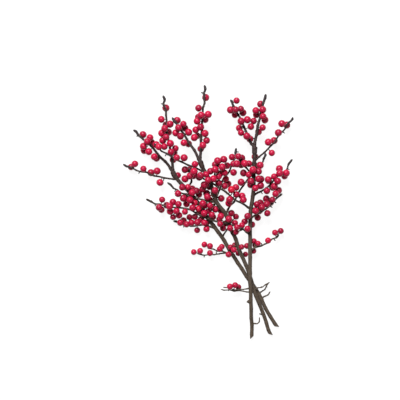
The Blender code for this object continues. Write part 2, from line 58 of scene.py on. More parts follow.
# %% Sizes
MM = 0.001
BERRY_RADIUS = 5.2
BERRY_SWELL = 1.08  # a coarse berry of the solid model is larger by this
SMALLEST_SHARE = 0.88  # the smallest berry of a shoot, against the largest
LATE_BERRY = 0.84  # the low berries ripen last and stay smaller
RIPENING = (45, 130)  # from late to full-sized, along the bunch
STALK_LENGTH = (1.2, 2.6)
STALK_STRETCH = 3.0
STALK_RADIUS = 0.65
SPUR_LENGTH = 3.0
SPUR_LIFT = 0.6
TIP_WITHOUT_BERRIES = 6.0
CUT_SLOPE = 0.9
BETWEEN_SPRIGS = 1.1
BETWEEN_BERRIES = 0.5
OFF_OWN_BARK = 0.2
LEAST_GROUND_GAP = 0.4
SPREAD_ROUNDS = 140
BERRY_GIVE = 0.45  # the share of an overlap that one push clears
OWN_WOOD_GIVE = 0.5
OTHER_WOOD_GIVE = 0.8
SIDEWAYS_EASE = 0.28  # a berry swings sideways less easily than up and down
SMOOTH_STEP = 1.0
RESTING_PLACES = [(-148, 184), None, (49, 146)]

# %% [markdown]
# ## A run of wood
#
# A shoot is drawn as a handful of points seen from above, as on a pressed specimen, with a
# height for each end. A Catmull-Rom spline goes through every point, so the slight zigzag at
# each old leaf joint stays, which a Bezier with few handles would iron out.

# %% Smooth runs and twigs
def smooth(points, step=SMOOTH_STEP):
    """A smooth run through the points, as one point for every step or so."""
    points = np.asarray(points, float)
    run = np.vstack([2 * points[0] - points[1], points, 2 * points[-1] - points[-2]])
    out = []
    for a, b, c, d in zip(run[:-3], run[1:-2], run[2:-1], run[3:]):
        count = max(2, int(round(np.linalg.norm(c - b) / step)))
        t = np.linspace(0, 1, count, endpoint=False)[:, None]
        pull = (c - a) * t + (2 * a - 5 * b + 4 * c - d) * t**2
        out.append(b + 0.5 * (pull + (3 * b - a - 3 * c + d) * t**3))
    return np.vstack(out + [points[-1:]])


class Twig:
    """A stem or a shoot: its run, its radius along it, and the places of its berries."""

    def __init__(self, run, widths, berries, under, spurs):
        steps = np.linalg.norm(np.diff(run, axis=0), axis=1)
        share = np.append(0, np.cumsum(steps)) / steps.sum()
        self.radii = np.interp(share, np.linspace(0, 1, len(widths)), widths) / 2
        self.run = run
        self.run[:, 2] = np.maximum(run[:, 2], self.radii)
        self.berries = berries
        self.under = under
        self.spurs = spurs

    def nearest(self, place):
        away = np.linalg.norm(self.run[:, :2] - np.array(place), axis=1)
        return int(away.argmin())

# %% [markdown]
# ## One sprig
#
# A sprig is a stem that carries shoots, and each of them bears berries on short stalks. A
# berry is given by its place seen from above. How high it sits follows from its stalk: one
# right over the wood stands a full stalk above it, and one beside it hangs level. Sizes and
# stalks are drawn from a seeded generator, so the same bunch grows each time.

# %% The sprig and how it bears berries
class Sprig:
    """One cut sprig: a stem, the shoots that it carries, and their berries.

    Routes and places are seen from above, in millimetres. A berry in berries hangs beside
    or above its shoot, and one in under hangs below it.
    """

    def __init__(self, name, seed, cut):
        self.name = name
        self.cut = cut
        self.draw = random.Random(seed)
        self.twigs = {}
        self.berries = []

    def stem(self, route, heights, widths, berries=(), under=(), spurs=()):
        share = np.linspace(0, 1, len(route))
        up = np.interp(share, np.linspace(0, 1, len(heights)), heights)
        run = smooth(np.column_stack([route, up]))
        self.twigs["stem"] = Twig(run, widths, berries, under, spurs)

    def shoot(self, name, route, to, widths=(2.4, 2.0), berries=(), under=(), spurs=(), rise=0):
        """A shoot starts inside the stem, level with it, and ends at the height to."""
        stem = self.twigs["stem"]
        root = stem.run[stem.nearest(route[0])]
        flat = np.vstack([root[:2], route[1:]])
        gone = np.append(0, np.cumsum(np.linalg.norm(np.diff(flat, axis=0), axis=1)))
        share = gone / gone[-1]
        up = root[2] + (to - root[2]) * share + rise * np.sin(math.pi * share)
        run = smooth(np.column_stack([flat, up]))
        self.twigs[name] = Twig(run, widths, berries, under, spurs)

    def grow(self):
        """Each berry hangs from the point of its shoot that is nearest to its place."""
        for twig in self.twigs.values():
            for side, places in ((1, twig.berries), (-1, twig.under)):
                for place in places:
                    self.bear(twig, place, side)

    def bear(self, twig, place, side):
        """The stalk's length says how far above or below the shoot the berry can sit."""
        k = min(twig.nearest(place), len(twig.run) - 1 - int(TIP_WITHOUT_BERRIES / SMOOTH_STEP))
        foot = twig.run[k]
        ripe = np.interp(place[1], RIPENING, (LATE_BERRY, 1.0))
        radius = BERRY_RADIUS * ripe * (1.0 - (1.0 - SMALLEST_SHARE) * self.draw.random() ** 2)
        reach = twig.radii[k] + self.draw.uniform(*STALK_LENGTH) + radius
        beside = math.dist(place, foot[:2])
        lift = math.sqrt(max(reach**2 - beside**2, 0.0))
        centre = np.array([place[0], place[1], foot[2] + side * lift])
        self.berries.append(
            {"foot": foot, "centre": centre, "radius": radius, "reach": max(reach, beside)}
        )

# %% [markdown]
# ## The right-hand sprig
#
# It is almost straight and lies over the other two where the stems cross, so it is the
# highest there. Its shoots leave it to both sides, and it ends in a fork of two tips.

# %% Right-hand sprig
def right_sprig():
    """The nearly upright sprig, which lies over the other two."""
    s = Sprig("sprig_right", seed=11, cut=-CUT_SLOPE)
    s.stem(
        [
            (3, -81), (3, -65), (2, -50), (1, -20), (0, 0), (0, 20), (0, 50), (0, 80), (1, 100),
            (4, 120), (5, 140), (5, 155), (6, 172), (6, 188)
        ],
        heights=[3.4, 5, 8, 14, 15.9, 16.3, 17, 18, 19, 20.5, 21.5, 22, 22, 22],
        widths=(5.2, 5.4, 5.6, 5.6, 5.2),
        berries=[
            (5.5, 153), (-2, 146), (-9, 150), (14, 133), (9, 151), (-13, 137),
            (-4, 90), (0, 140), (7, 129), (11, 144)
        ],
        under=[(1, 134), (7, 173), (3, 78), (15, 141), (-4, 48)],
    )
    s.shoot(
        "fork_right",
        [(6, 186), (7, 195), (9, 206), (12, 221), (16, 236), (19, 249), (20, 254), (22, 261)],
        to=17, widths=(4.4, 3.6, 2.5),
        berries=[(8, 237), (17, 236), (20, 225), (17, 213), (18, 229)],
        under=[(15, 247), (9, 232), (12, 208), (5, 223)],
        spurs=[(3, 199)],
    )
    s.shoot(
        "fork_left",
        [(6, 186), (0, 194), (-5, 206), (-9, 216), (-15, 229), (-21, 240), (-24, 246), (-28, 253)],
        to=16, widths=(4.0, 3.2, 2.3),
        berries=[
            (-19, 251), (-27, 238), (-20, 238), (-14, 239), (-5, 224), (1, 215), (-5, 201),
            (-13, 206), (-12, 222)
        ],
        under=[(-10, 235), (-21, 232), (-15, 213), (0, 198)],
    )
    s.shoot(
        "single_right", [
            (6, 166), (14, 174), (24, 183), (34, 193), (38, 200), (47, 210), (51, 217), (57, 223),
            (60, 229)
        ],
        to=14, widths=(2.7, 2.4, 2.1),
        berries=[(44, 219), (39, 206), (25, 193), (30, 178)],
        under=[(52, 218), (34, 196)],
        spurs=[(48, 206)],
    )
    s.shoot(
        "short_left",
        [(5, 146), (-3, 154), (-8, 159), (-13, 165), (-17, 171)],
        to=26, widths=(2.6, 2.2),
        berries=[(-17, 172), (-18, 163), (-9, 163), (-1, 163)],
        under=[(-12, 170), (-13, 163)],
    )
    s.shoot(
        "far_right", [
            (4, 118), (10, 122), (16, 125), (26, 132), (31, 137), (36, 143), (40, 147), (48, 151),
            (51, 155), (54, 161), (60, 170)
        ],
        to=9, widths=(2.8, 2.5, 2.2),
        berries=[
            (41, 156), (50, 150), (33, 143), (38, 137), (38, 127), (23, 125), (36, 132),
            (28, 142), (40, 149)
        ],
        under=[(49, 146), (26, 140), (33, 130)],
        spurs=[(17, 121), (56, 155)],
    )
    s.shoot(
        "spurred_right", [
            (0, 86), (7, 91), (18, 98), (24, 101), (29, 105), (33, 110), (37, 114), (41, 118),
            (45, 122)
        ],
        to=11, widths=(2.6, 2.3, 2.1),
        berries=[
            (8, 105), (8, 98), (17, 104), (23, 113), (22, 107), (34, 119), (24, 94), (32, 115)
        ],
        under=[(12, 107), (7, 101), (13, 97), (29, 109), (11, 88)],
        spurs=[(37, 108), (31, 102)],
    )
    s.shoot(
        "long_left", [
            (1, 100), (-10, 107), (-20, 112), (-30, 120), (-38, 126), (-52, 135), (-68, 144),
            (-76, 148), (-86, 156)
        ],
        to=33, widths=(3.0, 2.6, 2.2), rise=2,
        berries=[
            (-57, 141), (-70, 147), (-77, 151), (-26, 127), (-20, 128), (-12, 118), (-10, 113),
            (-29, 113), (-30, 108), (-52, 142), (-19, 122)
        ],
        under=[(-71, 144)],
    )
    s.shoot(
        "low_left",
        [(0, 64), (-8, 70), (-14, 72), (-20, 75), (-28, 78)],
        to=22.5, widths=(2.3, 2.0),
        berries=[(-5, 73), (-11, 77), (-7, 82), (-18, 75)],
    )
    s.shoot(
        "low_right",
        [(0, 42), (8, 46), (20, 50), (26, 53), (31, 57), (38, 61), (41, 64)],
        to=10, widths=(2.3, 2.0),
        berries=[(36, 67), (42, 68), (25, 56), (11, 52)],
        under=[(7, 50), (3, 54), (5, 41)],
        spurs=[(16, 52), (35, 56)],
    )
    s.shoot(
        "hook_left_upper",
        [(1, -10), (-12, -13), (-22, -13), (-32, -11), (-38, -10)],
        to=10, widths=(1.8, 1.6),
        berries=[(-27, -8), (-22, -7)],
        under=[(-16, -10)],
    )
    s.shoot(
        "hook_left_lower",
        [(1, -16), (-13, -15), (-22, -15), (-32, -14), (-41, -13)],
        to=7, widths=(1.8, 1.6),
    )
    s.shoot(
        "curved_low",
        [(3, -61), (9, -62), (12, -60), (13, -57), (13.5, -52)],
        to=7, widths=(1.8, 1.6),
    )
    s.shoot(
        "thorn",
        [(1, -30), (-5, -30)],
        to=12, widths=(4.2, 2.0),
    )
    return s

# %% [markdown]
# ## The left-hand sprig
#
# It grows like a mirror image of the first, leans far to the left, and its stem lies flat on
# the surface where the other two cross it.

# %% Left-hand sprig
def left_sprig():
    """The sprig that leans furthest left, under the other two where the stems cross."""
    s = Sprig("sprig_left", seed=23, cut=CUT_SLOPE)
    s.stem(
        [
            (38.5, -66), (28, -50), (20, -35), (14, -22), (8, -12), (2, -4), (-3, 3), (-14, 20),
            (-27, 40), (-39, 60), (-50, 75), (-60, 88), (-66, 99), (-80, 118), (-94, 133),
            (-104, 144), (-109, 154)
        ],
        heights=[0, 0, 0, 0, 0, 0, 0, 3.4, 4.5, 6, 7.5, 8.5, 9, 10, 11, 11.5, 12],
        widths=(5.3, 5.5, 5.6, 5.6, 5.2),
        berries=[
            (-93, 130), (-89, 130), (-80, 122), (-76, 124), (-66, 92), (-74, 97), (-60, 98),
            (-77, 109)
        ],
        under=[(-72, 121), (-89, 107), (-70, 96), (-82, 127), (-103, 146), (-55, 79)],
    )
    s.shoot(
        "fork_left", [
            (-107, 150), (-114, 161), (-125, 172), (-134, 183), (-145, 194), (-153, 200),
            (-158, 206), (-164, 211)
        ],
        to=10, widths=(4.2, 3.4, 2.4),
        berries=[(-141, 198), (-146, 188), (-142, 181), (-135, 174), (-145, 192)],
        under=[(-152, 203), (-138, 194), (-148, 184), (-129, 173)],
        spurs=[(-157, 203)],
    )
    s.shoot(
        "fork_right", [
            (-107, 150), (-109, 166), (-112, 186), (-115, 199), (-117, 212), (-117, 229),
            (-119, 242), (-121, 247), (-120, 252), (-122, 259)
        ],
        to=15, widths=(4.2, 3.2, 2.4),
        berries=[
            (-124, 225), (-112, 218), (-123, 206), (-117, 199), (-122, 195), (-120, 188),
            (-105, 184), (-110, 179), (-119, 212), (-112, 192)
        ],
        under=[(-118, 242), (-117, 216), (-108, 172), (-107, 176), (-115, 210)],
        spurs=[(-124, 247)],
    )
    s.shoot(
        "single_left", [
            (-102, 142), (-119, 143), (-126, 145), (-139, 148), (-145, 151), (-152, 152),
            (-160, 155), (-172, 160), (-178, 163)
        ],
        to=13, widths=(2.7, 2.4, 2.1),
        berries=[(-161, 163), (-149, 156), (-130, 153), (-126, 137)],
        under=[(-167, 159), (-139, 151)],
        spurs=[(-156, 149), (-121, 140)],
    )
    s.shoot(
        "short_right",
        [(-88, 126), (-85, 132), (-82, 141), (-84, 150), (-84, 158)],
        to=15, widths=(2.8, 2.4),
        berries=[(-91, 155), (-84, 146), (-91, 142)],
        under=[(-84, 154), (-80, 148)],
    )
    s.shoot(
        "long_right", [
            (-58, 86), (-54, 98), (-49, 108), (-45, 121), (-42, 129), (-38, 140), (-33, 147),
            (-29, 153), (-25, 162), (-20, 176), (-19, 186)
        ],
        to=8, widths=(2.9, 2.6, 2.3),
        berries=[
            (-25, 171), (-31, 161), (-23, 151), (-35, 133), (-31, 135), (-58, 92), (-52, 92),
            (-47, 97), (-41, 115), (-24, 164), (-34, 141)
        ],
        under=[(-55, 89)],
        spurs=[(-17, 180)],
    )
    s.shoot(
        "spurred_left",
        [(-48, 72), (-62, 77), (-80, 76), (-94, 78), (-99, 80), (-108, 83)],
        to=6.5, widths=(2.6, 2.3, 2.1),
        berries=[
            (-97, 84), (-88, 80), (-84, 87), (-81, 82), (-75, 82), (-65, 82), (-61, 72)
        ],
        under=[(-94, 83), (-72, 88), (-74, 70)],
        spurs=[(-93, 74)],
    )
    s.shoot(
        "twig_right",
        [(-38, 59), (-33, 70), (-29, 76), (-24, 86)],
        to=7, widths=(2.2, 2.0),
        berries=[(-37, 74), (-31, 82), (-26, 92), (-22, 90)],
        under=[(-29, 88), (-44, 86)],
    )
    s.shoot(
        "thin_upper",
        [(-24, 36), (-34, 39), (-45, 41), (-52, 43), (-60, 46)],
        to=6, widths=(2.1, 1.8),
        berries=[(-62, 48), (-56, 48), (-42, 44)],
        under=[(-37, 48)],
    )
    s.shoot(
        "thin_lower",
        [(-22, 32), (-30, 37), (-40, 37), (-50, 36), (-60, 35), (-68, 36), (-74, 37)],
        to=5, widths=(2.1, 1.8),
        berries=[(-76, 38), (-70, 41), (-56, 38), (-30, 36)],
        spurs=[(-64, 33), (-47, 39)],
    )
    s.shoot(
        "hook_upper",
        [(15, -24), (14.5, -19.5), (18.5, -15.5), (23, -10.5), (26, -5.5), (27.5, -3)],
        to=5, widths=(2.0, 1.8),
    )
    s.shoot(
        "hook_lower",
        [(16, -27), (22, -23), (26, -20), (29, -16)],
        to=4, widths=(2.0, 1.8),
    )
    return s

# %% [markdown]
# ## The middle sprig
#
# It lies on the left-hand one, and its head spreads over that one's shoots.

# %% Middle sprig
def middle_sprig():
    """The sprig between them, whose head spreads over the left one."""
    s = Sprig("sprig_middle", seed=37, cut=CUT_SLOPE)
    s.stem(
        [
            (29.5, -77), (26, -69), (20, -50), (13, -33), (9, -23), (5, -12), (2, 0), (-5, 20),
            (-14, 40), (-21, 60), (-27, 72), (-34, 92), (-43, 104), (-48, 112), (-51, 122),
            (-57, 141), (-64, 153), (-71, 168)
        ],
        heights=[
            3.3, 3.4, 4.7, 7, 8.5, 9.2, 9.4, 10, 11.5, 14, 15.5, 18, 20, 21, 22, 23.5, 24.5, 25
        ],
        widths=(5.2, 5.4, 5.6, 5.6, 5.2),
        berries=[
            (-27, 46), (-23, 43), (-12, 47), (-28, 74), (-63, 135), (-65, 128), (-60, 118),
            (-49, 126), (-62, 147), (-57, 104), (-30, 86), (-41, 90)
        ],
        under=[
            (-21, 49), (-18, 36), (-61, 122), (-65, 107), (-57, 131), (-6, 36), (-43, 97),
            (-50, 118), (-54, 114)
        ],
        spurs=[(12, -31)],
    )
    s.shoot(
        "fork_left",
        [(-70, 165), (-76, 178), (-85, 192), (-92, 203), (-99, 214), (-102, 218), (-109, 228)],
        to=20, widths=(4.2, 3.4, 2.4),
        berries=[(-93, 218), (-100, 212), (-102, 205), (-98, 201), (-93, 193), (-85, 206)],
        under=[(-102, 224), (-91, 213), (-86, 191)],
    )
    s.shoot(
        "fork_right", [
            (-70, 165), (-69, 180), (-68, 203), (-67, 218), (-66, 237), (-64, 248), (-64, 256),
            (-65, 261), (-62, 267), (-64, 273)
        ],
        to=21, widths=(4.2, 3.2, 2.4),
        berries=[
            (-72, 240), (-60, 231), (-67, 230), (-74, 222), (-69, 213), (-76, 210), (-63, 204),
            (-61, 196), (-66, 188)
        ],
        under=[(-62, 256), (-72, 228), (-63, 225), (-78, 200), (-74, 202), (-69, 184)],
        spurs=[(-68, 262)],
    )
    s.shoot(
        "single_left", [
            (-63, 152), (-74, 156), (-88, 162), (-100, 167), (-112, 174), (-122, 180),
            (-128, 185), (-134, 191)
        ],
        to=25, widths=(2.8, 2.5, 2.2), rise=2,
        berries=[(-77, 162), (-92, 171), (-102, 171), (-127, 186)],
        under=[(-131, 190)],
        spurs=[(-118, 174)],
    )
    s.shoot(
        "short_up",
        [(-54, 132), (-50, 147), (-47, 157), (-43, 165)],
        to=27, widths=(2.7, 2.3),
        berries=[
            (-37, 169), (-45, 166), (-41, 158), (-48, 155), (-56, 152), (-37, 150), (-45, 145)
        ],
        under=[(-49, 162), (-42, 149), (-44, 136)],
    )
    s.shoot(
        "mid_left",
        [(-47, 110), (-60, 111), (-75, 115), (-88, 119), (-97, 123), (-106, 129), (-116, 137)],
        to=17.5, widths=(2.7, 2.4, 2.1), rise=-3,
        berries=[(-99, 120), (-94, 116), (-84, 114)],
        under=[(-88, 119)],
        spurs=[(-105, 125)],
    )
    s.shoot(
        "far_left", [
            (-32, 79), (-50, 83), (-58, 86), (-74, 93), (-86, 100), (-106, 102), (-122, 105),
            (-137, 109), (-146, 114)
        ],
        to=12, widths=(2.9, 2.6, 2.2), rise=1,
        berries=[
            (-123, 113), (-127, 102), (-107, 109), (-101, 107), (-111, 97), (-103, 95),
            (-91, 96), (-101, 89), (-112, 103), (-79, 104), (-42, 79)
        ],
        under=[(-124, 99), (-117, 105), (-105, 89), (-62, 87)],
        spurs=[(-133, 104)],
    )
    s.shoot(
        "long_right", [
            (-33, 92), (-28, 104), (-22, 111), (-14, 126), (-8, 135), (2, 147), (11, 156),
            (16, 163), (20, 170), (22, 179)
        ],
        to=6, widths=(2.9, 2.5, 2.2),
        berries=[(14, 161)],
        under=[(9, 160)],
    )
    s.shoot(
        "twig_right",
        [(-20, 63), (-15, 69), (-12, 71), (-9, 77)],
        to=10, widths=(2.2, 1.9),
        berries=[(-20, 70)],
        under=[(-21, 80)],
    )
    s.shoot(
        "hook_right",
        [(5, -14), (12, -11), (18, -9), (22, -7), (28, -3)],
        to=11, widths=(1.8, 1.6),
    )
    s.shoot(
        "stub",
        [(19, -50), (16, -48), (13, -47)],
        to=5, widths=(1.8, 1.6),
    )
    return s

# %% [markdown]
# ## Making room
#
# Real berries don't sink into each other or into the wood: they swing aside on their stalks.
# Here many rounds of small pushes do the same. It could be a physics simulation, but pushes
# on spheres are quicker and give the same result in each run.

# %% Push berries apart and let the bunch rest
def off_neighbours(centre, room):
    """How far the other berries push each berry."""
    apart = centre[:, None] - centre[None, :]
    far = np.linalg.norm(apart, axis=2) + np.eye(len(centre))
    push = np.clip(room - far, 0, None) / far * BERRY_GIVE
    return (apart * push[:, :, None]).sum(axis=1)


def off_wood(centre, radius, own, run, bark):
    """How far one sprig's wood pushes each berry; own marks the berries that it bears."""
    gap = centre[:, None] - run[None]
    far = np.linalg.norm(gap, axis=2)
    free = np.where(own, OFF_OWN_BARK, BETWEEN_SPRIGS)
    deep = (radius + free)[:, None] + bark[None] - far
    rows, worst = np.arange(len(centre)), deep.argmax(axis=1)
    shove = np.clip(deep[rows, worst], 0, None) * np.where(own, OWN_WOOD_GIVE, OTHER_WOOD_GIVE)
    away = gap[rows, worst] / far[rows, worst][:, None]
    return away * shove[:, None]


def spread(sprigs):
    """Berries push one another, the wood and the ground aside, mostly up and down."""
    berries = [b for s in sprigs for b in s.berries]
    owner = np.array([i for i, s in enumerate(sprigs) for b in s.berries])
    centre, foot = (np.array([b[key] for b in berries]) for key in ("centre", "foot"))
    radius, reach = (np.array([b[key] for b in berries]) for key in ("radius", "reach"))
    wood = [np.vstack([t.run for t in s.twigs.values()]) for s in sprigs]
    bark = [np.concatenate([t.radii for t in s.twigs.values()]) for s in sprigs]
    kin = owner[:, None] == owner[None, :]
    room = radius[:, None] + radius[None, :] + np.where(kin, BETWEEN_BERRIES, BETWEEN_SPRIGS)
    np.fill_diagonal(room, 0)
    easy = np.array([SIDEWAYS_EASE, SIDEWAYS_EASE, 1.0])
    for _ in range(SPREAD_ROUNDS):
        centre = centre + off_neighbours(centre, room) * easy
        for k in range(len(sprigs)):
            centre = centre + off_wood(centre, radius, owner == k, wood[k], bark[k]) * easy
        tie = centre - foot
        length = np.linalg.norm(tie, axis=1)
        centre = foot + tie * (np.minimum(length, reach + STALK_STRETCH) / length)[:, None]
        centre[:, 2] = np.maximum(centre[:, 2], radius * BERRY_SWELL + LEAST_GROUND_GAP)
    for b, c in zip(berries, centre):
        b["centre"] = c


def settle(sprigs):
    """The berry nearest to each resting place comes down until it touches the surface."""
    for sprig, place in zip(sprigs, RESTING_PLACES):
        if place is None:
            continue
        resting = min(sprig.berries, key=lambda b: math.dist(b["centre"][:2], place))
        resting["centre"][2] = resting["radius"] * BERRY_SWELL


sprigs = [left_sprig(), middle_sprig(), right_sprig()]
for sprig in sprigs:
    sprig.grow()
spread(sprigs)
settle(sprigs)
print("berries:", {sprig.name: len(sprig.berries) for sprig in sprigs})

# %% [markdown]
# ## A small kit for Geometry Nodes
#
# What follows a path or repeats is made by Geometry Nodes. Building a tree takes many lines,
# so a few helpers shorten it: one starts a tree with named inputs, one adds a node and wires
# it, others do sums or store a value, and one runs the tree on an object and keeps the
# result as a plain mesh.

# %% Geometry Nodes helpers
def new_tree(name, **inputs):
    """A tree with a geometry input, the named number inputs, and a geometry output."""
    tree = bpy.data.node_groups.new(name, "GeometryNodeTree")
    tree.interface.new_socket("Geometry", in_out="INPUT", socket_type="NodeSocketGeometry")
    for label, value in inputs.items():
        kind = "NodeSocketInt" if isinstance(value, int) else "NodeSocketFloat"
        socket = tree.interface.new_socket(label, in_out="INPUT", socket_type=kind)
        socket.default_value = value
    tree.interface.new_socket("Geometry", in_out="OUTPUT", socket_type="NodeSocketGeometry")
    return tree, tree.nodes.new("NodeGroupInput"), tree.nodes.new("NodeGroupOutput")


def add(tree, kind, settings=None, **inputs):
    """A node with its settings, and its inputs wired to sockets or set to values."""
    node = tree.nodes.new(kind)
    for key, value in (settings or {}).items():
        setattr(node, key, value)
    for key, value in inputs.items():
        label = key.replace("_", " ").strip()
        names = [s for s in node.inputs if s.enabled and s.name == label]
        socket = names[0] if names else node.inputs[int(label[1:])]
        if isinstance(value, bpy.types.NodeSocket):
            tree.links.new(value, socket)
        else:
            socket.default_value = value
    return node


def in_scene(name, data):
    made = bpy.data.objects.new(name, data)
    bpy.context.scene.collection.objects.link(made)
    return made


def sums(tree, operation, a, b):
    """One step of arithmetic on two sockets or numbers."""
    return add(tree, "ShaderNodeMath", {"operation": operation}, i0=a, i1=b).outputs[0]


def vectors(tree, operation, **inputs):
    return add(tree, "ShaderNodeVectorMath", {"operation": operation}, **inputs)


def store(tree, node, kind, label, value):
    """Keeps a value on the points of what the node gives, for the shaders to read."""
    return add(tree, "GeometryNodeStoreNamedAttribute", {"data_type": kind, "domain": "POINT"},
               Geometry=node.outputs["Geometry"], Name=label, Value=value)


def run_tree(source, tree, name, **values):
    """Runs the tree on an object, keeps the result as a mesh, and drops the source."""
    grow = source.modifiers.new("grow", "NODES")
    grow.node_group = tree
    for item in tree.interface.items_tree:
        if item.item_type == "SOCKET" and item.in_out == "INPUT" and item.name in values:
            grow[item.identifier] = values[item.name]
    source.update_tag()
    seen = bpy.context.evaluated_depsgraph_get()
    mesh = bpy.data.meshes.new_from_object(
        source.evaluated_get(seen), preserve_all_data_layers=True, depsgraph=seen
    )
    piece = in_scene(name, mesh)
    bpy.data.objects.remove(source, do_unlink=True)
    mesh.shade_smooth()
    print(name, len(mesh.vertices), "points", len(mesh.polygons), "faces")
    return piece

# %% [markdown]
# ## Wood from runs
#
# A stem could be a skinned mesh or a lofted one. Here each run becomes a curve whose points
# carry their own radius, and a tree sweeps a circle along it, which keeps the taper smooth
# and is easy to change. Old leaf joints swell a little, and a shoot flares into a collar
# where it leaves its bearer, so the radius varies along the run in the same way.

# %% Joints, kinks, collars and end buds
FIRST_JOINT = (4, 9)
JOINT_SPACING, TIP_SPACING = 12, 7
SPACING_VARIES = (0.8, 1.25)
NEAR_TIP = 34
BARE_END = 9
STEM_SWELL, SHOOT_SWELL = 0.07, 0.20
JOINT_REACH = 1.4
STEM_KINK = 0.15
SHOOT_KINK = (0.75, 0.4)  # at the tip, and where the wood is old
FULL_KINK_TO = 8
COLLAR, COLLAR_REACH = 0.6, 2.6
END_BUD_FROM_TIP = [0, 0.8, 2.2, 4.5, 9, 13]
END_BUD_WIDTHS = [0.2, 0.72, 1.1, 1.05, 1.0, 1.0]
STURDY_RADIUS, STURDY_BUD = 1.15, 1.35  # a twig that starts thicker has a wider end bud


def joints_along(length, draw):
    """Old leaf joints, which crowd together near the tip."""
    joints = [draw.uniform(*FIRST_JOINT)]
    while joints[-1] < length - BARE_END:
        spacing = TIP_SPACING if length - joints[-1] < NEAR_TIP else JOINT_SPACING
        joints.append(joints[-1] + spacing * draw.uniform(*SPACING_VARIES))
    return joints


def grown(twig, is_stem, draw):
    """Points and radii of a twig that kinks and swells at its joints."""
    steps = np.linalg.norm(np.diff(twig.run, axis=0), axis=1)
    along = np.append(0, np.cumsum(steps))
    left = along[-1] - along
    joints = joints_along(along[-1], draw)
    radii = twig.radii.copy()
    swell = STEM_SWELL if is_stem else SHOOT_SWELL
    for joint in joints:
        radii *= 1 + swell * np.exp(-(((along - joint) / JOINT_REACH) ** 2))
    to_tip = along[-1] - np.array(joints)
    kink = STEM_KINK if is_stem else np.interp(to_tip, [FULL_KINK_TO, NEAR_TIP], SHOOT_KINK)
    beside = np.interp(along, [0] + joints + [along[-1]],
                       [0, *(kink * np.resize([1, -1], len(joints))), 0])
    ahead = np.gradient(twig.run, axis=0)
    across = np.column_stack([-ahead[:, 1], ahead[:, 0], np.zeros(len(ahead))])
    across /= np.linalg.norm(across, axis=1)[:, None]
    if not is_stem:
        radii += COLLAR * np.exp(-along / COLLAR_REACH)
    widths = np.array(END_BUD_WIDTHS)
    if twig.radii[0] > STURDY_RADIUS:
        widths[2:5] *= STURDY_BUD
    radii *= np.interp(left, END_BUD_FROM_TIP, widths)
    return twig.run + across * beside[:, None], radii


def curve_of(runs, name):
    """A curve object with one poly spline for each (points, radii), in metres."""
    data = bpy.data.curves.new(name, "CURVE")
    data.dimensions = "3D"
    for points, radii in runs:
        spline = data.splines.new("POLY")
        spline.points.add(len(points) - 1)
        flat = np.column_stack([np.array(points) * MM, np.ones(len(points))])
        spline.points.foreach_set("co", flat.ravel())
        spline.points.foreach_set("radius", np.array(radii, float) * MM)
    return in_scene(name, data)

# %% [markdown]
# ## The tree that sweeps wood
#
# Its named inputs are the number of sides, the depth of the bark's furrows, the slope of the
# cut and how fresh the tips are. It also stores, for every point, how far along the twig it
# lies and where it is round it. The bark's finish reads that, so its cracks follow each twig.

# %% Sweep tree
CUT_REACH = 0.006  # the cut's slant fades out over this length, in metres
FRESH_REACH = (0.006, 0.022)  # fresh wood fades to old between these distances from a tip


